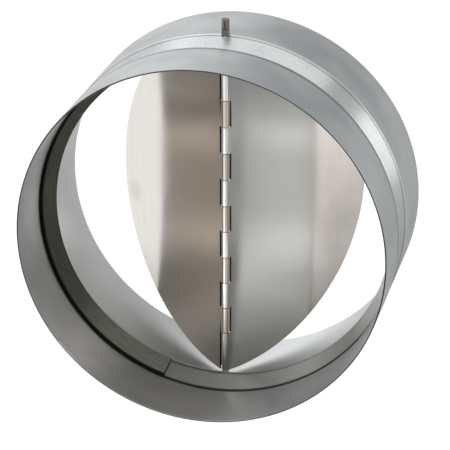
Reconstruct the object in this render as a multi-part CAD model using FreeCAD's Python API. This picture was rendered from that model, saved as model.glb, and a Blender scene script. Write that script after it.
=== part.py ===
import FreeCAD
import Part
import math
import os

# Duct backdraft damper for a 200 mm round duct. Lengths in mm, angles in degrees.
# Frame: duct axis along Y, air flows toward +Y, hinge along Z, +Z up.
# Origin: on the duct axis, at the rim of the inlet end.

V = FreeCAD.Vector
ORIGIN = V(0, 0, 0)
DUCT_AXIS = V(0, 1, 0)
HINGE_AXIS = V(0, 0, 1)
FULL_TURN = 360.0
HALF_TURN = FULL_TURN / 2

# Collar: rolled sheet sleeve that slides into the duct at either end
COLLAR_R = 99.5
COLLAR_SHEET = 0.8
COLLAR_LENGTH = 102.5
RIM_BREAK = 0.15

# Stop bead: rolled inward, straight flanks between a round bottom and a small radius at each edge
BEAD_Y = 48.6
BEAD_HALF_WIDTH = 12.0
BEAD_DEPTH = 5.0
BEAD_EDGE_R = 1.1
BEAD_BOTTOM_R = 2.5

# Seat strip: lies on the upstream flank of the bead, on the left half
STRIP_SHEET = 1.2
STRIP_HALF_ARC = 72.5
STRIP_MID_ARC = HALF_TURN
STRIP_FOOT = 0.9
STRIP_OVERHANG = 1.3

# Hinge: knuckles rolled from the blades' own sheet round a wire pin
HINGE_Y = 60.25
PIN_R = 1.45
PIN_TIP_BREAK = 0.3
RUN_CLEARANCE = 0.05
HOLE_CLEARANCE = 0.08
ROLL_START = 270.0
ROLL_END = -35.0
KNUCKLE_PITCH = 15.2
KNUCKLE_GAP = 0.45
KNUCKLE_TOP = 62.9
KNUCKLE_JOINTS = 10
NOTCH_CLEARANCE = 0.45
NOTCH_CORNER_R = 0.6

# Blades: half discs of one sheet, shown half open
BLADE_R = 96.2
BLADE_Z = -0.85
BLADE_SHEET = 0.7
LEFT_SWING_ANGLE = 40.9
RIGHT_SWING_ANGLE = 49.7

# Ends of the hinge outside the collar
TRUNNION_REACH = 3.4
FERRULE_GAP = 0.3
FERRULE_LENGTH = 5.0
FERRULE_WALL = 0.65
FERRULE_BREAK = 0.2
FERRULE_SEAM = 0.5


def arc(centre, radius, start, end):
    """Edge of a circle in the XY plane, from one angle to a larger one."""
    circle = Part.Circle(centre, HINGE_AXIS, radius)
    return Part.Arc(circle, math.radians(start), math.radians(end)).toShape()


def closed_face(edges):
    """Flat face inside a closed run of edges."""
    return Part.Face(Part.Wire(Part.__sortEdges__(edges)))


def box(low, high):
    """Box between two corners."""
    size = high - low
    return Part.makeBox(size.x, size.y, size.z, low)


def rod(radius, low_z, high_z):
    """Cylinder on the hinge line."""
    return Part.makeCylinder(radius, high_z - low_z, V(0, HINGE_Y, low_z), HINGE_AXIS)


class Bead:
    """The bead's outline in the plane of radius and duct axis, at a depth under the collar's outside."""

    def __init__(self):
        bends = BEAD_EDGE_R + BEAD_BOTTOM_R
        rise = bends - BEAD_DEPTH
        span = math.hypot(BEAD_HALF_WIDTH, rise)
        slope = math.asin(bends / span) - math.atan2(rise, BEAD_HALF_WIDTH)
        self.flank = math.degrees(slope)
        self.slope = slope
        self.centre = V(COLLAR_R - BEAD_DEPTH + BEAD_BOTTOM_R, BEAD_Y, 0)

    def edge_centre(self, side):
        """Centre of the small radius at the upstream (-1) or downstream (+1) edge."""
        return V(COLLAR_R - BEAD_EDGE_R, BEAD_Y + side * BEAD_HALF_WIDTH, 0)

    def outward(self, side):
        """Direction square to a flank, away from the duct axis."""
        return V(math.cos(self.slope), -side * math.sin(self.slope), 0)

    def flank_ends(self, depth, side):
        """Ends of a straight flank at a depth, from the bead's edge to its bottom."""
        edge = self.edge_centre(side) + self.outward(side) * (BEAD_EDGE_R - depth)
        bottom = self.centre - self.outward(side) * (BEAD_BOTTOM_R + depth)
        return edge, bottom

    def skin(self, depth, length):
        """Edges of the collar's wall at a depth under its outside, from end to end."""
        radius = COLLAR_R - depth
        up = self.edge_centre(-1)
        down = self.edge_centre(1)
        turned = HALF_TURN - self.flank
        return [
            Part.LineSegment(V(radius, 0, 0), V(radius, up.y, 0)).toShape(),
            arc(up, BEAD_EDGE_R - depth, 0, self.flank),
            Part.LineSegment(*self.flank_ends(depth, -1)).toShape(),
            arc(self.centre, BEAD_BOTTOM_R + depth, turned, HALF_TURN + self.flank),
            Part.LineSegment(*self.flank_ends(depth, 1)).toShape(),
            arc(down, BEAD_EDGE_R - depth, -self.flank, 0),
            Part.LineSegment(V(radius, down.y, 0), V(radius, length, 0)).toShape(),
        ]


def make_collar(bead):
    """Sleeve with its bead and the two holes that carry the hinge."""
    outer = bead.skin(0, COLLAR_LENGTH)
    inner = bead.skin(COLLAR_SHEET, COLLAR_LENGTH)
    ends = []
    for y in (0, COLLAR_LENGTH):
        ends.append(Part.LineSegment(V(COLLAR_R, y, 0), V(COLLAR_R - COLLAR_SHEET, y, 0)).toShape())
    sleeve = closed_face(outer + inner + ends).revolve(ORIGIN, DUCT_AXIS, FULL_TURN)
    rims = [e for e in sleeve.Edges if is_rim(e)]
    sleeve = sleeve.makeChamfer(RIM_BREAK, rims)
    return sleeve.cut(rod(trunnion_radius() + HOLE_CLEARANCE, -2 * COLLAR_R, 2 * COLLAR_R))


def is_rim(edge):
    """True for the circles at the two ends of the sleeve."""
    from_middle = abs(edge.CenterOfMass.y - COLLAR_LENGTH / 2)
    return edge.isClosed() and abs(from_middle - COLLAR_LENGTH / 2) < RIM_BREAK


def make_strip(bead):
    """Flat strip of sheet rolled into a cone on the bead's upstream flank, cut square at both ends."""
    edge, bottom = bead.flank_ends(COLLAR_SHEET, -1)
    along = (bottom - edge).normalize()
    foot = edge + along * STRIP_FOOT
    top = bottom + along * STRIP_OVERHANG
    inward = bead.outward(-1) * -STRIP_SHEET
    corners = [foot, top, top + inward, foot + inward, foot]
    face = Part.Face(Part.makePolygon(corners))
    face.rotate(ORIGIN, DUCT_AXIS, -(STRIP_MID_ARC - STRIP_HALF_ARC))
    return face.revolve(ORIGIN, DUCT_AXIS, -2 * STRIP_HALF_ARC)


def trunnion_radius():
    """Outside radius of the right blade's knuckles, which grip the pin."""
    return PIN_R + BLADE_SHEET


def knuckle_rows(first):
    """Heights of every second knuckle, the first or the second from the top."""
    joints = [KNUCKLE_TOP - i * KNUCKLE_PITCH for i in range(KNUCKLE_JOINTS)]
    spans = [(joints[i + 1], joints[i]) for i in range(KNUCKLE_JOINTS - 1)]
    half = KNUCKLE_GAP / 2
    return [(low + half, high - half) for low, high in spans[first::2]]


def end_rows():
    """Heights of the two long knuckles that pass through the collar."""
    tip = COLLAR_R + TRUNNION_REACH
    half = KNUCKLE_GAP / 2
    top = KNUCKLE_TOP + half
    bottom = KNUCKLE_TOP - (KNUCKLE_JOINTS - 1) * KNUCKLE_PITCH - half
    return [(top, tip), (-tip, bottom)]


def leaf_edge(bore_r, other_r):
    """Distance from the hinge line to the leaf's edge beside the other blade's knuckles."""
    reach = other_r + NOTCH_CLEARANCE
    return math.sqrt(reach ** 2 - bore_r ** 2)


def make_knuckle(bore_r, tail, low_z, high_z):
    """Sheet that runs in along X, upstream of the pin, and rolls round it."""
    outer_r = bore_r + BLADE_SHEET
    tip = math.radians(ROLL_END)
    inside = V(bore_r * math.cos(tip), bore_r * math.sin(tip), 0)
    outside = V(outer_r * math.cos(tip), outer_r * math.sin(tip), 0)
    runs = [V(0, -bore_r, 0), V(tail, -bore_r, 0), V(tail, -outer_r, 0), V(0, -outer_r, 0)]
    edges = [arc(ORIGIN, bore_r, ROLL_END, ROLL_START), arc(ORIGIN, outer_r, ROLL_END, ROLL_START)]
    edges.append(Part.LineSegment(inside, outside).toShape())
    for start, end in zip(runs, runs[1:]):
        edges.append(Part.LineSegment(start, end).toShape())
    face = closed_face(edges)
    face.translate(V(0, HINGE_Y, low_z))
    return face.extrude(V(0, 0, high_z - low_z))


def make_roll(bore_r, low_z, high_z):
    """Rolled sheet on its own, for the long knuckles beyond the leaf."""
    whole = make_knuckle(bore_r, BLADE_SHEET, low_z, high_z)
    outer_r = bore_r + BLADE_SHEET
    return whole.common(rod(outer_r, low_z, high_z))


def make_leaf(bore_r, other_r, rows):
    """Half disc of sheet, notched beside the other blade's knuckles."""
    outer_r = bore_r + BLADE_SHEET
    face_y = HINGE_Y - outer_r
    disc = Part.makeCylinder(BLADE_R, BLADE_SHEET, V(0, face_y, BLADE_Z), DUCT_AXIS)
    half = disc.common(box(V(0, face_y, -COLLAR_R), V(COLLAR_R, HINGE_Y, COLLAR_R)))
    edge = leaf_edge(bore_r, other_r)
    limits = [COLLAR_R]
    for low, high in sorted(rows, reverse=True):
        limits += [high, low]
    limits.append(-COLLAR_R)
    for high, low in zip(limits[0::2], limits[1::2]):
        if high > low:
            half = half.cut(make_notch(edge, face_y, low, high))
    return half


def make_notch(edge, face_y, low, high):
    """Cut beside one knuckle, with round inner corners."""
    depth = V(0, BLADE_SHEET, 0)
    notch = box(V(-edge, face_y, low), V(edge, face_y, high) + depth)
    corners = [e for e in notch.Edges if is_along_duct(e) and e.BoundBox.XMin > 0]
    return notch.makeFillet(NOTCH_CORNER_R, corners)


def is_along_duct(edge):
    """True for a straight edge along the duct axis."""
    bounds = edge.BoundBox
    return bounds.YLength > bounds.XLength + bounds.ZLength


def make_blade(bore_r, other_r, rows, ends):
    """Leaf with its knuckles, closed, on the +X side of the hinge."""
    own = rows + ends
    blade = make_leaf(bore_r, other_r, own)
    tail = leaf_edge(bore_r, other_r) + BLADE_SHEET
    for low, high in rows:
        blade = blade.fuse(make_knuckle(bore_r, tail, low, high))
    for low, high in ends:
        blade = blade.fuse(make_roll(bore_r, low, high))
    return blade.removeSplitter()


def make_ferrules():
    """Short tubes rolled from sheet, their seams upstream, on the two ends of the pin."""
    wall = PIN_R + FERRULE_WALL
    start = COLLAR_R + TRUNNION_REACH + FERRULE_GAP
    tubes = []
    for side in (-1, 1):
        low = min(side * start, side * (start + FERRULE_LENGTH))
        high = low + FERRULE_LENGTH
        tube = rod(wall, low, high)
        tube = tube.makeChamfer(FERRULE_BREAK, [e for e in tube.Edges if e.isClosed()])
        tube = tube.cut(rod(PIN_R, low, high))
        seam = box(V(-FERRULE_SEAM / 2, HINGE_Y - wall, low), V(FERRULE_SEAM / 2, HINGE_Y, high))
        tubes.append(tube.cut(seam))
    return Part.makeCompound(tubes)


def make_pin():
    """Wire pin through the hinge, its tips level with the ferrules."""
    tip = COLLAR_R + TRUNNION_REACH + FERRULE_GAP + FERRULE_LENGTH
    pin = rod(PIN_R, -tip, tip)
    return pin.makeChamfer(PIN_TIP_BREAK, [e for e in pin.Edges if e.isClosed()])


def swing(shape, angle):
    """Turn a blade about the hinge line."""
    turned = shape.copy()
    turned.rotate(V(0, HINGE_Y, 0), HINGE_AXIS, angle)
    return turned


def main():
    """Build every piece in its place and write it."""
    bead = Bead()
    grip_r = PIN_R
    free_r = PIN_R + RUN_CLEARANCE
    grip_out = grip_r + BLADE_SHEET
    free_out = free_r + BLADE_SHEET
    right = make_blade(grip_r, free_out, knuckle_rows(1), end_rows())
    left = make_blade(free_r, grip_out, knuckle_rows(0), [])
    left = left.mirror(ORIGIN, V(1, 0, 0))
    pieces = {
        "collar": make_collar(bead),
        "seat_strip": make_strip(bead),
        "left_blade": swing(left, -LEFT_SWING_ANGLE),
        "right_blade": swing(right, RIGHT_SWING_ANGLE),
        "hinge_pin": make_pin(),
        "pin_ferrules": make_ferrules(),
    }
    os.makedirs("parts", exist_ok=True)
    for node, shape in pieces.items():
        shape.exportStep("parts/" + node + ".step")


main()
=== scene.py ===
"""Looks of a round duct backdraft damper: finishes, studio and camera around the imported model."""

import logging
import math
from dataclasses import dataclass, field
from enum import Enum
from typing import Any

import bpy
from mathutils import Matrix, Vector

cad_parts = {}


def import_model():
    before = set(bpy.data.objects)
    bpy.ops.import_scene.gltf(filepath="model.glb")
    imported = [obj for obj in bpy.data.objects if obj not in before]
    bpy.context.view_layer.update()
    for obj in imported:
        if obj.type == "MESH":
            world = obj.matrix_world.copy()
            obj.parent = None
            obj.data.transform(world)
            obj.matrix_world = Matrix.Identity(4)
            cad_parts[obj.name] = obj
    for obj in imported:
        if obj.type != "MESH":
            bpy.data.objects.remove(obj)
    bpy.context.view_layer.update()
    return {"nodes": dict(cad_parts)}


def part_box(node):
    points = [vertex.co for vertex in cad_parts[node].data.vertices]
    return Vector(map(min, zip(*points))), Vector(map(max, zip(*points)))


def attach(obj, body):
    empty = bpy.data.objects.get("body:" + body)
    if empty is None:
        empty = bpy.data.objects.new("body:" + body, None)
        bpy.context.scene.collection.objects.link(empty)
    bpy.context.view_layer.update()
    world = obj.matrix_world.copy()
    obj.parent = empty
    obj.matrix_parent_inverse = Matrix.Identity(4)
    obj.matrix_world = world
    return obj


log = logging.getLogger("damper")

MM = 0.001

Colour = tuple[float, float, float, float]
Point = tuple[float, float, float]
Band = tuple[float, float]
Socket = bpy.types.NodeSocket


class Side(Enum):
    """The two blades, as seen from the inlet."""

    LEFT = "left"
    RIGHT = "right"


class Spread(Enum):
    """Direction across the rolling lines, along which a highlight is drawn out."""

    UP = (0.0, 0.0, 1.0)
    DUCT = (0.0, 1.0, 0.0)


def linear(colour: str) -> Colour:
    """Turn an sRGB hex colour into linear values.

    Args:
        colour: Six hex digits after a hash sign.

    Returns:
        Linear red, green and blue, and an alpha of one.
    """
    parts = [int(colour[i:i + 2], 16) / 255 for i in (1, 3, 5)]
    red, green, blue = (c / 12.92 if c <= 0.04045 else ((c + 0.055) / 1.055) ** 2.4 for c in parts)
    return red, green, blue, 1.0


def add_node(tree: bpy.types.NodeTree, kind: str, settings: dict[str, Any] | None = None,
             **inputs: Any) -> bpy.types.Node:
    """Add a node, set its options and fill or link its inputs.

    Args:
        tree: The node tree that takes the node.
        kind: The node's type name without its common beginning.
        settings: Values for the node's own options.
        **inputs: A value or an output socket for each input, by its name with underscores for spaces,
            or by i and its number.

    Returns:
        The new node.
    """
    node = tree.nodes.new("ShaderNode" + kind)
    for name, value in (settings or {}).items():
        setattr(node, name, value)
    for name, value in inputs.items():
        key = int(name[1:]) if name[0] == "i" and name[1:].isdigit() else name.replace("_", " ")
        if isinstance(value, bpy.types.NodeSocket):
            tree.links.new(value, node.inputs[key])
        else:
            node.inputs[key].default_value = value
    return node


def empty_material(name: str) -> tuple[bpy.types.Material, bpy.types.NodeTree]:
    """Make a material with no nodes in it.

    Args:
        name: What the material is.

    Returns:
        The material and its node tree.
    """
    material = bpy.data.materials.new(name)
    material.use_nodes = True
    material.node_tree.nodes.clear()
    return material, material.node_tree


def dress(node: bpy.types.Object, material: bpy.types.Material) -> None:
    """Put one material on a whole object.

    Args:
        node: The object.
        material: Its material.
    """
    node.data.materials.clear()
    node.data.materials.append(material)


class Palette:
    """Node tree of one finish, built up layer by layer from the bare colour."""

    def __init__(self, name: str, bare: str) -> None:
        """Start from one bare colour.

        Args:
            name: What the material is.
            bare: Its colour as sRGB hex.
        """
        self.material, self.tree = empty_material(name)
        self.place: Socket = add_node(self.tree, "TexCoord").outputs["Object"]
        axes = add_node(self.tree, "SeparateXYZ", Vector=self.place)
        self.x, self.y, self.z = axes.outputs
        self.colour: Colour | Socket = linear(bare)

    def calc(self, operation: str, first: Socket | float, second: Socket | float = 0.0) -> Socket:
        """Take one step of arithmetic.

        Args:
            operation: Name of the step in Blender's Math node.
            first: What it works on.
            second: The other value, for a step that takes two.

        Returns:
            The result.
        """
        return add_node(self.tree, "Math", {"operation": operation}, i0=first, i1=second).outputs[0]

    def grain(self, size: float, stretch: Point = (1.0, 1.0, 1.0), detail: float = 2.0) -> Socket:
        """Soft random pattern.

        Args:
            size: Width of one patch in metres.
            stretch: How often the pattern repeats along each axis, as a share.
            detail: Finer patterns on top.

        Returns:
            The pattern's value, around one half.
        """
        drawn = add_node(self.tree, "Mapping", Vector=self.place, Scale=stretch)
        noise = add_node(self.tree, "TexNoise", Vector=drawn.outputs[0], Scale=1 / size, Detail=detail)
        return noise.outputs["Fac"]

    def between(self, value: Socket, low: float, high: float, start: float = 0.0,
                end: float = 1.0) -> Socket:
        """Straight ramp over a range of a value, held at both ends.

        Args:
            value: What the ramp follows.
            low: Value at which the ramp starts.
            high: Value at which the ramp ends, which may be the lower of the two.
            start: The ramp's level at its start.
            end: The ramp's level at its end.

        Returns:
            The ramp.
        """
        ramp = add_node(self.tree, "MapRange", Value=value, From_Min=low, From_Max=high, To_Min=start,
                        To_Max=end)
        return ramp.outputs[0]

    def apart(self, value: Socket, middle: float) -> Socket:
        """Distance of a value from a middle, to either side.

        Args:
            value: What is measured.
            middle: Where the distance is zero.

        Returns:
            The distance.
        """
        return self.calc("ABSOLUTE", self.calc("SUBTRACT", value, middle))

    def line(self, value: Socket, middle: float, reach: float) -> Socket:
        """Line that fades to both sides of one value.

        Args:
            value: What the line lies across.
            middle: The value at the line's middle.
            reach: Distance at which the line has faded.

        Returns:
            One on the line, zero beside it.
        """
        return self.between(self.apart(value, middle), 0.0, reach, 1.0, 0.0)

    def both(self, first: Socket, second: Socket | float) -> Socket:
        """Product of two masks.

        Args:
            first: One mask.
            second: Another mask, or a share.

        Returns:
            The mask that both let through.
        """
        return self.calc("MULTIPLY", first, second)

    def from_axis(self, first: Socket, second: Socket) -> Socket:
        """Distance from an axis.

        Args:
            first: Distance along one direction square to the axis.
            second: Distance along the other.

        Returns:
            The distance from the axis.
        """
        flat = add_node(self.tree, "CombineXYZ", X=first, Y=second)
        away = add_node(self.tree, "VectorMath", {"operation": "LENGTH"}, i0=flat.outputs[0])
        return away.outputs["Value"]

    def from_point(self, point: Point) -> Socket:
        """Distance from a point.

        Args:
            point: The point in metres.

        Returns:
            The distance from it.
        """
        away = add_node(self.tree, "VectorMath", {"operation": "DISTANCE"}, i0=self.place, i1=point)
        return away.outputs["Value"]

    def tint(self, colour: str, mask: Socket) -> None:
        """Lay a colour over the finish where a mask lets it through.

        Args:
            colour: The colour as sRGB hex.
            mask: Where it lies.
        """
        mix = add_node(self.tree, "Mix", {"data_type": "RGBA"}, Factor=mask, i6=self.colour,
                       i7=linear(colour))
        self.colour = mix.outputs[2]

    def close(self, roughness: float | Socket, relief: Socket, relief_height: float, metallic: float = 1.0,
              drawn: float = 0.0, spread: Spread = Spread.UP) -> bpy.types.Material:
        """Close the tree with its shader.

        Args:
            roughness: Blur of the reflections.
            relief: Pattern of the surface's relief.
            relief_height: Height of the relief in metres.
            metallic: Share of bare metal, the rest being a dull coat on it.
            drawn: How far the rolling lines draw out a highlight.
            spread: Direction in which they draw it out.

        Returns:
            The finished material.
        """
        bump = add_node(self.tree, "Bump", Strength=1.0, Distance=relief_height, Height=relief)
        across = add_node(self.tree, "CombineXYZ", X=spread.value[0], Y=spread.value[1], Z=spread.value[2])
        shader = add_node(self.tree, "BsdfPrincipled", Base_Color=self.colour, Metallic=metallic,
                          Roughness=roughness, Anisotropic=drawn, Tangent=across.outputs[0],
                          Normal=bump.outputs[0])
        add_node(self.tree, "OutputMaterial", Surface=shader.outputs[0])
        return self.material


@dataclass(frozen=True)
class EdgeLine:
    """Line of painted shade or painted highlight along one edge of the bead.

    It lies at an offset from the edge and is gone at its reach. The share is its strength, and it is at full
    strength wherever its fade is above the level in full.
    """

    offset: float
    reach: float
    share: float = 1.0
    full: float = 1.0

    def mask(self, coat: Palette, edge: float) -> Socket:
        """Find where the line lies.

        Args:
            coat: The finish that is being built.
            edge: Place of the bead's edge along the duct.

        Returns:
            The line's strength.
        """
        fade = coat.line(coat.y, edge + self.offset, self.reach)
        return coat.between(fade, 0.0, self.full, 0.0, self.share)


@dataclass(frozen=True)
class GalvanisedSheet:
    """Zinc-coated steel sheet, rolled round.

    A satin grey with fine lines along the roll, small zinc crystals in the bead and soft clouds, and sheared
    rims that show clean metal. The creases of the bead carry painted shade and its downstream edge a painted
    highlight; inside, the bead is painted darker as shade low on the left, and the inside behind the bead
    carries painted light.
    """

    bare: str = "#CDD0D1"
    cloud: str = "#BABEC0"
    crystal: str = "#E4E6E5"
    # Painted shade for the creases of the bead
    crease_shade: str = "#34352F"
    # Painted highlight for the bead's downstream edge
    painted_glint: str = "#F0F1EF"
    sheared: str = "#A4A7A8"
    # Painted shade for the inside of the bead, low on the left
    dull: str = "#969894"
    # Painted light for the inside behind the bead
    clean: str = "#E8EBEB"
    # Real rolling lines and crystals are finer, but finer ones are lost at 0.5 mm to a pixel
    line_size: float = 0.7 * MM
    line_stretch: Point = (0.03, 1.0, 0.03)
    line_band: Band = (0.5, 0.75)
    line_share: float = 0.5
    crystal_size: float = 0.9 * MM
    crystal_band: Band = (0.5, 0.75)
    crystal_share: float = 0.6
    cloud_size: float = 34 * MM
    cloud_band: Band = (0.4, 0.62)
    relief: float = 0.006 * MM
    rough: float = 0.29
    rough_change: float = 0.05
    rough_band: Band = (0.3, 0.7)
    metallic: float = 0.95
    drawn: float = 0.6
    # Depths in the sheet between which its outer face turns into its inner face
    skin: Band = (0.2 * MM, 0.6 * MM)
    # Share of the bead's depth from which the sheet counts as bead
    bead_soft: float = 0.05
    rim: float = 0.3 * MM
    rim_soft: float = 0.1 * MM
    # The lower left half of the inside takes painted shade, fading over this distance to both sides of its
    # edge
    low_shade_up: Point = (0.5, 0.0, 0.87)
    low_shade_reach: float = 15 * MM
    # The inside is painted lighter, as painted light, from just before the bead's downstream edge
    painted_light_from: float = -2 * MM
    painted_light_full: float = 1 * MM
    # Painted shade along the creases of the bead, inside and out
    inner_crease_shade: EdgeLine = EdgeLine(0.3 * MM, 1.5 * MM, full=0.6)
    near_crease_shade: EdgeLine = EdgeLine(0.2 * MM, 3.4 * MM, share=0.75)
    # Painted highlight on the bead's downstream edge, outside
    far_glint_line: EdgeLine = EdgeLine(0.1 * MM, 0.9 * MM)
    # Painted shade just below the bead's downstream edge, outside
    far_crease_shade: EdgeLine = EdgeLine(-1.3 * MM, 0.8 * MM, share=0.55)

    def make(self, collar: "Collar") -> bpy.types.Material:
        """Build the material for a collar's sizes.

        Args:
            collar: The collar that wears it.

        Returns:
            The finished material.
        """
        coat = Palette("galvanised steel sheet", self.bare)
        lines = coat.grain(self.line_size, self.line_stretch)
        crystals = coat.grain(self.crystal_size, detail=1.0)
        clouds = coat.grain(self.cloud_size, detail=3.0)
        coat.tint(self.cloud, coat.between(clouds, *self.cloud_band))
        coat.tint(self.cloud, coat.between(lines, *self.line_band, 0.0, self.line_share))
        dip = coat.line(coat.y, collar.bead_middle, collar.bead_half)
        bead = coat.between(dip, 0.0, self.bead_soft)
        level = coat.calc("SUBTRACT", coat.from_axis(coat.x, coat.z), coat.both(dip, -collar.bead_depth))
        outer_skin, inner_skin = (collar.radius - depth for depth in self.skin)
        outer = coat.between(level, inner_skin, outer_skin)
        inside = coat.between(level, inner_skin, outer_skin, 1.0, 0.0)
        sparkle = coat.between(crystals, *self.crystal_band, 0.0, self.crystal_share)
        coat.tint(self.crystal, coat.both(coat.both(sparkle, bead), outer))
        rise = add_node(coat.tree, "VectorMath", {"operation": "DOT_PRODUCT"}, i0=coat.place,
                        i1=self.low_shade_up)
        low = coat.between(rise.outputs["Value"], -self.low_shade_reach, self.low_shade_reach, 1.0, 0.0)
        shaded_low_inside = coat.both(low, inside)
        # Painted shade on the inside of the bead, low on the left
        coat.tint(self.dull, coat.both(bead, shaded_low_inside))
        far, near = collar.bead_far, collar.bead_near
        # Painted light on the inside behind the bead
        downstream = coat.between(coat.y, far + self.painted_light_from, far + self.painted_light_full)
        coat.tint(self.clean, coat.both(downstream, inside))
        inlet, outlet = self.rim, collar.length - self.rim
        coat.tint(self.sheared, coat.between(coat.y, inlet - self.rim_soft, inlet, 1.0, 0.0))
        coat.tint(self.sheared, coat.between(coat.y, outlet, outlet + self.rim_soft))
        # Painted shade in the creases of the bead
        coat.tint(self.crease_shade, coat.both(self.inner_crease_shade.mask(coat, near), shaded_low_inside))
        coat.tint(self.crease_shade, coat.both(self.near_crease_shade.mask(coat, near), outer))
        # Painted highlight along the bead's downstream edge
        coat.tint(self.painted_glint, coat.both(self.far_glint_line.mask(coat, far), outer))
        # Painted shade just below the downstream edge
        coat.tint(self.crease_shade, coat.both(self.far_crease_shade.mask(coat, far), outer))
        rough = coat.between(clouds, *self.rough_band, self.rough, self.rough + self.rough_change)
        bumps = coat.both(crystals, bead)
        return coat.close(rough, bumps, self.relief, self.metallic, self.drawn, Spread.DUCT)


@dataclass(frozen=True)
class StripSheet:
    """Oiled steel strip, cut from coil.

    Darker and browner than the zinc, with short scratches along it and a paler lower end. Its cut edges are
    painted nearly black as shade.
    """

    bare: str = "#4C4D47"
    streak: str = "#5A5B54"
    worn: str = "#82837C"
    # Painted shade for the strip's cut edges
    edge: str = "#1D1D19"
    # Real scratches are finer. These are as fine as a pixel of the photograph.
    streak_size: float = 0.5 * MM
    streak_stretch: Point = (0.06, 1.0, 0.06)
    streak_band: Band = (0.48, 0.66)
    worn_from: float = -50 * MM
    worn_full: float = -92 * MM
    worn_band: Band = (0.3, 0.7)
    worn_share: Band = (0.5, 0.9)
    # Offsets from the cut edges between which the painted black shade fades, at the strip's ends in radians
    top_edge: Band = (-0.9 * MM, -0.4 * MM)
    foot_edge: Band = (0.5 * MM, 1.1 * MM)
    end_edge: Band = (0.002, 0.008)
    relief: float = 0.01 * MM
    rough: float = 0.5
    metallic: float = 0.85
    drawn: float = 0.4

    def make(self, half_arc: float, foot: float, top: float) -> bpy.types.Material:
        """Build the material for a strip's sizes.

        Args:
            half_arc: Degrees from the strip's middle to its end.
            foot: Place of its lower edge along the duct.
            top: Place of its upper edge along the duct.

        Returns:
            The finished material.
        """
        coat = Palette("oiled mill-finish steel strip", self.bare)
        streaks = coat.grain(self.streak_size, self.streak_stretch)
        coat.tint(self.streak, coat.between(streaks, *self.streak_band))
        low_end = coat.between(coat.z, self.worn_from, self.worn_full)
        coat.tint(self.worn, coat.both(low_end, coat.between(streaks, *self.worn_band, *self.worn_share)))
        # Painted shade along the top edge, the foot and the ends
        start, end = (top + offset for offset in self.top_edge)
        coat.tint(self.edge, coat.between(coat.y, start, end))
        start, end = (foot + offset for offset in self.foot_edge)
        coat.tint(self.edge, coat.between(coat.y, start, end, 1.0, 0.0))
        turn = coat.calc("ABSOLUTE", coat.calc("ARCTAN2", coat.z, coat.x))
        start, end = (math.radians(180 - half_arc) + offset for offset in self.end_edge)
        coat.tint(self.edge, coat.between(turn, start, end, 1.0, 0.0))
        return coat.close(self.rough, streaks, self.relief, self.metallic, self.drawn, Spread.DUCT)


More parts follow.
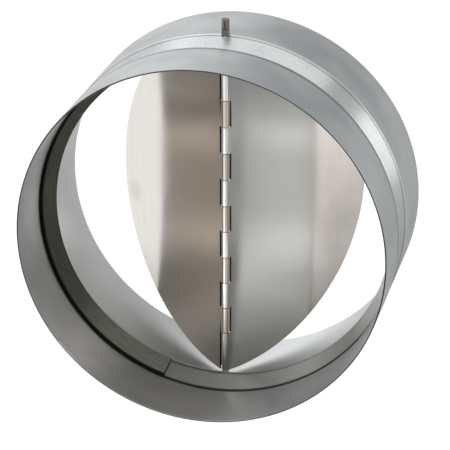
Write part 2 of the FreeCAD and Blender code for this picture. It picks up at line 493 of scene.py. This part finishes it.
@dataclass(frozen=True)
class BrightSheet:
    """Cold-rolled bright steel sheet.

    A blurred mirror, drawn out across its rolling lines, with faint upright streaks, thumbed patches that
    are a little duller and clean sheared edges. A tint near the hinge is a painted reflection, the lower end
    is painted darker as shade, and the edges beside the knuckles are painted black as shade.
    """

    bare: str = "#D1CECA"
    streak: str = "#CECBC6"
    # Painted reflection: a tint near the hinge
    hinge_reflection: str = "#D3C6BA"
    shear: str = "#F2EFEA"
    # Painted shade for the blade's edges beside the other blade's knuckles
    gap: str = "#17150F"
    outer_end: str = "#77746F"
    # Painted shade, darker towards the lower end
    lower_end_shade: str = "#938B83"
    # Painted reflection: a brownish patch where one is placed
    reflection_patch: str = "#B9AB96"
    reflection_patch_at: Point | None = None
    reflection_patch_reach: float = 9 * MM
    reflection_patch_core: float = 4 * MM
    reflection_patch_share: float = 0.4
    # Real rolling lines are far finer. The streaks stand for bundles of them.
    streak_size: float = 1.6 * MM
    streak_stretch: Point = (1.0, 1.0, 0.012)
    streak_band: Band = (0.45, 0.7)
    thumb_size: float = 26 * MM
    thumb_band: Band = (0.35, 0.75)
    # Distances from the hinge's axis over which the painted reflection fades out
    hinge_reflection_full: float = 46 * MM
    hinge_reflection_reach: float = 62 * MM
    hinge_reflection_share: float = 0.85
    # Heights over which painted shade darkens the lower end
    lower_shade_from: float = -45 * MM
    lower_shade_full: float = -85 * MM
    lower_shade_share: float = 0.85
    shear_width: float = 0.25 * MM
    # The long end knuckles are painted darker from where they leave the collar
    end_from: float = 98.6 * MM
    end_full: float = 99 * MM
    # Distances from the hinge's axis at which the painted shade on the edges beside the knuckles starts and
    # ends
    gap_start: Band = (2.4 * MM, 2.5 * MM)
    gap_end: Band = (3.1 * MM, 3.3 * MM)
    # Softness of their ends, as a share of a wave along the hinge, and of the first and last in metres
    row_soft: float = 0.03
    row_fade: float = 10 * MM
    relief: float = 0.0006 * MM
    rough: float = 0.16
    rough_change: Band = (-0.02, 0.05)
    drawn: float = 0.9

    def make(self, leaf: "Leaf") -> bpy.types.Material:
        """Build the material for a blade's sizes.

        Args:
            leaf: The blade that wears it.

        Returns:
            The finished material.
        """
        coat = Palette(f"bright cold-rolled steel sheet {leaf.side.value}", self.bare)
        streaks = coat.grain(self.streak_size, self.streak_stretch)
        thumbs = coat.grain(self.thumb_size)
        out = coat.from_axis(coat.x, coat.calc("SUBTRACT", coat.y, leaf.hinge_y))
        coat.tint(self.streak, coat.between(streaks, *self.streak_band))
        # Painted reflection near the hinge
        coat.tint(self.hinge_reflection, coat.between(out, self.hinge_reflection_full, self.hinge_reflection_reach, self.hinge_reflection_share, 0.0))
        # Painted shade at the lower end
        coat.tint(self.lower_end_shade, coat.between(coat.z, self.lower_shade_from, self.lower_shade_full, 0.0, self.lower_shade_share))
        # Painted reflection as a brownish patch
        if self.reflection_patch_at:
            spot = coat.from_point(self.reflection_patch_at)
            patch = coat.between(spot, self.reflection_patch_reach, self.reflection_patch_core, 0.0, self.reflection_patch_share)
            coat.tint(self.reflection_patch, patch)
        to_centre = coat.from_point((0.0, leaf.hinge_y, leaf.disc_z))
        coat.tint(self.shear, coat.between(to_centre, leaf.disc_r - self.shear_width, leaf.disc_r))
        # Painted shade on the edges beside the knuckles
        coat.tint(self.gap, self.beside_knuckles(coat, leaf, out))
        coat.tint(self.outer_end, coat.between(coat.apart(coat.z, 0.0), self.end_from, self.end_full))
        clean, thumbed = (self.rough + change for change in self.rough_change)
        rough = coat.between(thumbs, *self.thumb_band, clean, thumbed)
        return coat.close(rough, streaks, self.relief, drawn=self.drawn, spread=Spread.UP)

    def beside_knuckles(self, coat: Palette, leaf: "Leaf", out: Socket) -> Socket:
        """Find the blade's edges that face the other blade's knuckles, where painted shade goes.

        Args:
            coat: The finish that is being built.
            leaf: The blade that wears it.
            out: Distance from the hinge's axis.

        Returns:
            One on those edges, zero elsewhere.
        """
        down = coat.calc("SUBTRACT", leaf.knuckle_top, coat.z)
        wave = coat.calc("SINE", coat.both(down, math.pi / leaf.knuckle_pitch))
        away = coat.apart(coat.z, leaf.knuckle_middle)
        fade = leaf.knuckle_half - self.row_fade
        if leaf.side is Side.LEFT:
            ends = coat.between(away, fade, leaf.knuckle_half)
            rows = coat.calc("MAXIMUM", coat.between(wave, self.row_soft, -self.row_soft), ends)
        else:
            inner = coat.between(away, fade, leaf.knuckle_half, 1.0, 0.0)
            rows = coat.both(coat.between(wave, -self.row_soft, self.row_soft), inner)
        edge = coat.both(coat.between(out, *self.gap_start), coat.between(out, *self.gap_end, 1.0, 0.0))
        return coat.both(rows, edge)


@dataclass(frozen=True)
class DrawnWire:
    """Drawn steel wire and the tube pressed on it.

    Darker than the blades, with lines along it.
    """

    bare: str = "#8E8A84"
    streak: str = "#6A6660"
    # Real drawing lines are finer. These are as wide as a pixel of the photograph.
    line_size: float = 0.6 * MM
    line_stretch: Point = (1.0, 1.0, 0.04)
    line_band: Band = (0.42, 0.6)
    relief: float = 0.01 * MM
    rough: float = 0.34

    def make(self, name: str) -> bpy.types.Material:
        """Build the material.

        Args:
            name: Which piece it is for.

        Returns:
            The finished material.
        """
        coat = Palette(f"drawn steel {name}", self.bare)
        lines = coat.grain(self.line_size, self.line_stretch)
        coat.tint(self.streak, coat.between(lines, *self.line_band))
        return coat.close(self.rough, lines, self.relief)


@dataclass(frozen=True)
class GapShadeBlack:
    """Nearly black finish for the rods that stand for painted shade in the knuckle gaps.

    Half glossy, and a little browner in random flecks.
    """

    # Painted shade: near black, and a little browner in flecks
    thick: str = "#0D0C0A"
    thin: str = "#1D1914"
    fleck_size: float = 1.1 * MM
    fleck_band: Band = (0.4, 0.65)
    relief: float = 0.02 * MM
    rough: float = 0.42

    def make(self) -> bpy.types.Material:
        """Build the material.

        Returns:
            The finished material.
        """
        # Painted shade for the knuckle gaps
        coat = Palette("black knuckle gap shade", self.thick)
        shade_flecks = coat.grain(self.fleck_size)
        coat.tint(self.thin, coat.between(shade_flecks, *self.fleck_band))
        return coat.close(self.rough, shade_flecks, self.relief, metallic=0.0)


@dataclass
class Collar:
    """Rolled sleeve with its stop bead."""

    radius: float = 99.5 * MM
    length: float = 102.5 * MM
    bead_near: float = 36.6 * MM
    bead_far: float = 60.6 * MM
    bead_depth: float = 5.0 * MM
    finish: GalvanisedSheet = field(default_factory=GalvanisedSheet)

    @property
    def bead_middle(self) -> float:
        """Middle of the bead along the duct."""
        return (self.bead_near + self.bead_far) / 2

    @property
    def bead_half(self) -> float:
        """Half of the bead's width."""
        return (self.bead_far - self.bead_near) / 2

    def build(self, nodes: dict[str, bpy.types.Object]) -> None:
        """Dress the sleeve.

        Args:
            nodes: The model's objects by name.
        """
        dress(nodes["collar"], self.finish.make(self))
        log.info("collar dressed, %.1f mm across", 2 * self.radius / MM)


@dataclass
class SeatStrip:
    """Strip on the bead's upstream flank, on the left half."""

    half_arc: float = 72.5
    finish: StripSheet = field(default_factory=StripSheet)

    def build(self, nodes: dict[str, bpy.types.Object]) -> None:
        """Dress the strip.

        Args:
            nodes: The model's objects by name.
        """
        low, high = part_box("seat_strip")
        foot, top = low[1], high[1]
        dress(nodes["seat_strip"], self.finish.make(self.half_arc, foot, top))
        log.info("seat strip dressed, %.1f mm wide along the duct", (top - foot) / MM)


@dataclass
class Leaf:
    """Half-disc blade with the knuckles rolled from its straight edge.

    The open angle is in degrees from closed. The notch edge is the distance from the hinge's axis to the
    blade's edge beside the other blade's knuckles, and knuckle_r is the radius of those.
    """

    side: Side
    finish: BrightSheet
    open_angle: float
    notch_edge: float
    knuckle_r: float
    hinge_y: float = 60.25 * MM
    disc_r: float = 96.2 * MM
    disc_z: float = -0.85 * MM
    knuckle_top: float = 62.9 * MM
    knuckle_pitch: float = 15.2 * MM
    knuckle_joints: int = 10

    @property
    def knuckle_half(self) -> float:
        """Half of the length over all the short knuckles."""
        return self.knuckle_pitch * (self.knuckle_joints - 1) / 2

    @property
    def knuckle_middle(self) -> float:
        """Height of the middle of the short knuckles."""
        return self.knuckle_top - self.knuckle_half

    def build(self, nodes: dict[str, bpy.types.Object]) -> None:
        """Dress the blade.

        Args:
            nodes: The model's objects by name.
        """
        dress(nodes[f"{self.side.value}_blade"], self.finish.make(self))
        log.info("%s blade dressed, radius %.1f mm", self.side.value, self.disc_r / MM)


@dataclass
class KnuckleGapShade:
    """Dark rods that stand for painted shade in the gaps between a blade's notched edge and the other
    blade's knuckles.
    """

    leaf: Leaf
    thickness: float = 0.48 * MM
    clearance: float = 0.04 * MM
    end_gap: float = 0.2 * MM
    tip_gap: float = 2 * MM
    sides: int = 16
    round_share: float = 0.9
    round_steps: int = 4
    finish: GapShadeBlack = field(default_factory=GapShadeBlack)

    def rows(self) -> list[tuple[float, float]]:
        """Lower and upper end of each line."""
        leaf = self.leaf
        joints = [leaf.knuckle_top - leaf.knuckle_pitch * i for i in range(leaf.knuckle_joints)]
        if leaf.side is Side.LEFT:
            tip = math.sqrt(leaf.disc_r ** 2 - leaf.notch_edge ** 2) - self.tip_gap
            joints = [leaf.disc_z + tip, *joints, leaf.disc_z - tip]
        return [(low + self.end_gap, high - self.end_gap) for high, low in zip(joints[::2], joints[1::2])]

    def middle(self) -> tuple[float, float]:
        """Place of the lines' middle across the duct and along it, touching edge and knuckle."""
        leaf = self.leaf
        half = self.thickness / 2
        along = leaf.notch_edge - half
        proud = math.sqrt((leaf.knuckle_r + self.clearance + half) ** 2 - along ** 2)
        hand = -1 if leaf.side is Side.LEFT else 1
        turn = math.radians(leaf.open_angle)
        across = hand * (along * math.cos(turn) + proud * math.sin(turn))
        return across, leaf.hinge_y + along * math.sin(turn) - proud * math.cos(turn)

    def line(self, low: float, high: float) -> bpy.types.Object:
        """Model one line with rounded ends.

        Args:
            low: Height of its lower end.
            high: Height of its upper end.

        Returns:
            The line.
        """
        half = self.thickness / 2
        bpy.ops.mesh.primitive_cylinder_add(vertices=self.sides, radius=half, depth=high - low,
                                            location=(*self.middle(), (low + high) / 2))
        line = bpy.context.object
        bpy.ops.object.transform_apply(location=True, rotation=False, scale=False)
        round_off = line.modifiers.new("round ends", "BEVEL")
        round_off.width = half * self.round_share
        round_off.segments = self.round_steps
        bpy.ops.object.modifier_apply(modifier=round_off.name)
        bpy.ops.object.shade_smooth()
        return line

    def build(self) -> None:
        """Model the lines, join them and let them ride on their blade."""
        bpy.ops.object.select_all(action="DESELECT")
        lines = [self.line(low, high) for low, high in self.rows()]
        for line in lines:
            line.select_set(True)
        bpy.context.view_layer.objects.active = lines[0]
        bpy.ops.object.join()
        # The joined rods stand for painted shade in the knuckle gaps
        oil = bpy.context.object
        oil.name = f"{self.leaf.side.value}_knuckle_gap_shade"
        dress(oil, self.finish.make())
        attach(oil, f"{self.leaf.side.value}_leaf")
        log.info("%s built, %d lines", oil.name, len(lines))


@dataclass
class HingeWire:
    """Pin through the knuckles and the split tubes on its two ends."""

    finish: DrawnWire = field(default_factory=DrawnWire)

    def build(self, nodes: dict[str, bpy.types.Object]) -> None:
        """Dress the pin and its tubes.

        Args:
            nodes: The model's objects by name.
        """
        for node, name in (("hinge_pin", "wire"), ("pin_ferrules", "tube")):
            dress(nodes[node], self.finish.make(name))
            log.info("%s dressed", node)


def direction(azimuth: float, elevation: float) -> Point:
    """Turn two angles into a direction.

    Args:
        azimuth: Degrees to the right of straight in front of the inlet.
        elevation: Degrees above level.

    Returns:
        The direction, with a length of one.
    """
    turn, rise = math.radians(azimuth), math.radians(elevation)
    return math.sin(turn) * math.cos(rise), -math.cos(turn) * math.cos(rise), math.sin(rise)


@dataclass(frozen=True)
class Panel:
    """Soft patch of light in the room, in degrees as seen from the part.

    Azimuth zero is in front of the inlet and ninety on its right. The patch is even out to its core and gone
    at its reach.
    """

    azimuth: float
    elevation: float
    core: float
    reach: float
    level: float


@dataclass(frozen=True)
class Lamp:
    """Square soft lamp that faces the part, in metres and watts."""

    name: str
    place: Point
    side: float
    power: float


@dataclass
class Studio:
    """Pale floor, soft lamps, white surroundings and the photograph's camera."""

    panels: tuple[Panel, ...] = (
        # Broad wall in front, and a softbox high above it
        Panel(0, 0, 30, 75, 0.35),
        Panel(9, 46, 10, 22, 0.7),
        # Broad wall on the left, the pale floor below it, and a softbox behind
        Panel(250, 0, 30, 85, 0.42),
        Panel(270, -24, 14, 34, 0.45),
        Panel(225, 35, 15, 40, 0.28),
        # Bright floor in front on the left, which the blades mirror by way of the collar
        Panel(-25, -45, 15, 32, 1.8),
        # Dim wall on the right and floor behind it
        Panel(100, 15, 15, 40, 0.2),
        Panel(150, -20, 25, 50, 0.12),
        # Two small patches low on the right, for the right blade
        Panel(90, -12, 6, 8, 0.6),
        Panel(91.5, -25, 2.5, 4.5, 0.6),
    )
    fill: float = 0.38
    lamps: tuple[Lamp, ...] = (
        Lamp("overhead", (0.0, 0.1, 1.4), 2.2, 11.0),
        Lamp("right", (1.4, 0.1, 0.4), 0.8, 4.5),
        Lamp("front left", (-0.7, -1.2, 1.0), 0.4, 5.0),
        Lamp("front right", (1.18, -0.95, 0.72), 0.4, 3.0),
    )
    lamp_aim: Point = (0.0, 0.05, 0.0)
    floor_z: float = -220 * MM
    floor_side: float = 60.0
    floor_pale: str = "#F4F4F4"
    floor_glow: float = 1.2
    floor_glow_share: float = 0.65
    # Camera fitted to the photograph, its angles in degrees and its lens in millimetres
    target: Vector = field(default_factory=lambda: Vector((1.922, 51.25, -5.648)) * MM)
    azimuth: float = 13.692
    elevation: float = 22.621
    distance: float = 1231.62 * MM
    lens: float = 181.67

    def build(self) -> None:
        """Make the world, floor, lamps and camera."""
        self.make_world()
        self.make_floor()
        self.make_lamps()
        self.make_camera()
        log.info("studio built")

    def make_world(self) -> None:
        """White for the camera, and for metal and light a room with soft patches of light."""
        world = bpy.data.worlds.new("studio")
        bpy.context.scene.world = world
        world.use_nodes = True
        tree = world.node_tree
        tree.nodes.clear()
        white = add_node(tree, "Background", Color=(1, 1, 1, 1), Strength=1.0)
        level = self.room(tree, add_node(tree, "TexCoord").outputs["Generated"])
        room = add_node(tree, "Background", Color=(1, 1, 1, 1), Strength=level)
        path = add_node(tree, "LightPath")
        mix = add_node(tree, "MixShader", i0=self.seen(tree, path), i1=room.outputs[0], i2=white.outputs[0])
        add_node(tree, "OutputWorld", Surface=mix.outputs[0])

    def seen(self, tree: bpy.types.NodeTree, path: bpy.types.Node) -> Socket:
        """Tell what the camera sees, straight or through something clear.

        Args:
            tree: The node tree that needs it.
            path: Its light path node.

        Returns:
            One for what the camera sees, zero for all other light.
        """
        return add_node(tree, "Math", {"operation": "MAXIMUM"}, i0=path.outputs["Is Camera Ray"],
                        i1=path.outputs["Is Transmission Ray"]).outputs[0]

    def room(self, tree: bpy.types.NodeTree, towards: Socket) -> Socket:
        """Brightness of the room in a direction.

        Args:
            tree: The node tree that needs it.
            towards: The direction as seen from the part.

        Returns:
            The brightness, one being white.
        """
        level: Socket | float = self.fill
        for panel in self.panels:
            facing = add_node(tree, "VectorMath", {"operation": "DOT_PRODUCT"}, i0=towards,
                              i1=direction(panel.azimuth, panel.elevation))
            patch = add_node(tree, "MapRange", {"interpolation_type": "SMOOTHSTEP"},
                             Value=facing.outputs["Value"], From_Min=math.cos(math.radians(panel.reach)),
                             From_Max=math.cos(math.radians(panel.core)), To_Min=0.0, To_Max=panel.level)
            level = add_node(tree, "Math", {"operation": "ADD"}, i0=level, i1=patch.outputs[0]).outputs[0]
        return level

    def make_floor(self) -> None:
        """Pale floor with a soft shadow, white further off, that mirrors as the room does."""
        bpy.ops.object.select_all(action="DESELECT")
        bpy.ops.mesh.primitive_plane_add(size=self.floor_side, location=(0, 0, self.floor_z))
        floor = bpy.context.object
        floor.name = "floor"
        material, tree = empty_material("white studio floor")
        matt = add_node(tree, "BsdfDiffuse", Color=linear(self.floor_pale))
        glow = add_node(tree, "Emission", Strength=self.floor_glow)
        pale = add_node(tree, "MixShader", i0=self.floor_glow_share, i1=matt.outputs[0], i2=glow.outputs[0])
        place = add_node(tree, "TexCoord").outputs["Object"]
        spot = add_node(tree, "VectorMath", {"operation": "ADD"}, i0=place,
                        i1=(0.0, -self.target.y, self.floor_z))
        towards = add_node(tree, "VectorMath", {"operation": "NORMALIZE"}, i0=spot.outputs[0])
        mirrored = add_node(tree, "Emission", Strength=self.room(tree, towards.outputs[0]))
        path = add_node(tree, "LightPath")
        light = add_node(tree, "MixShader", i0=path.outputs["Is Glossy Ray"], i1=matt.outputs[0],
                         i2=mirrored.outputs[0])
        mix = add_node(tree, "MixShader", i0=self.seen(tree, path), i1=light.outputs[0], i2=pale.outputs[0])
        add_node(tree, "OutputMaterial", Surface=mix.outputs[0])
        material.cycles.emission_sampling = "NONE"
        dress(floor, material)

    def make_lamps(self) -> None:
        """Soft lamps overhead, at the right and high in front."""
        for lamp in self.lamps:
            data = bpy.data.lights.new(lamp.name, "AREA")
            data.size = lamp.side
            data.energy = lamp.power
            placed = bpy.data.objects.new(lamp.name, data)
            bpy.context.scene.collection.objects.link(placed)
            placed.location = lamp.place
            aim = Vector(self.lamp_aim) - Vector(lamp.place)
            placed.rotation_euler = aim.to_track_quat("-Z", "Y").to_euler()

    def make_camera(self) -> None:
        """Camera at the photograph's place, looking close to the collar's middle."""
        data = bpy.data.cameras.new("camera")
        data.lens = self.lens
        camera = bpy.data.objects.new("camera", data)
        bpy.context.scene.collection.objects.link(camera)
        back = Vector(direction(self.azimuth, self.elevation))
        camera.location = self.target + back * self.distance
        camera.rotation_euler = (-back).to_track_quat("-Z", "Y").to_euler()
        bpy.context.scene.camera = camera
        bpy.context.scene.view_settings.view_transform = "Standard"


def main() -> None:
    """Load the frame, dress it and set it in the studio."""
    logging.basicConfig(level=logging.INFO)
    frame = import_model()
    nodes = frame["nodes"]
    Collar().build(nodes)
    SeatStrip().build(nodes)
    # The left blade carries a brownish painted reflection patch
    left_sheet = BrightSheet(reflection_patch_at=(-65.2 * MM, 116.8 * MM, -16.3 * MM))
    left = Leaf(Side.LEFT, left_sheet, open_angle=40.9, notch_edge=2.123 * MM, knuckle_r=2.15 * MM)
    # The right blade's sheet is painted lighter than the left's, as painted light
    right_sheet = BrightSheet(bare="#F0E9E4", streak="#EDE6E0", hinge_reflection="#F3F2F0")
    right = Leaf(Side.RIGHT, right_sheet, open_angle=49.7, notch_edge=2.217 * MM, knuckle_r=2.2 * MM)
    left.build(nodes)
    right.build(nodes)
    # Dark rods as painted shade in the knuckle gaps
    KnuckleGapShade(left).build()
    KnuckleGapShade(right).build()
    HingeWire().build(nodes)
    Studio().build()


if __name__ == "__main__":
    main()
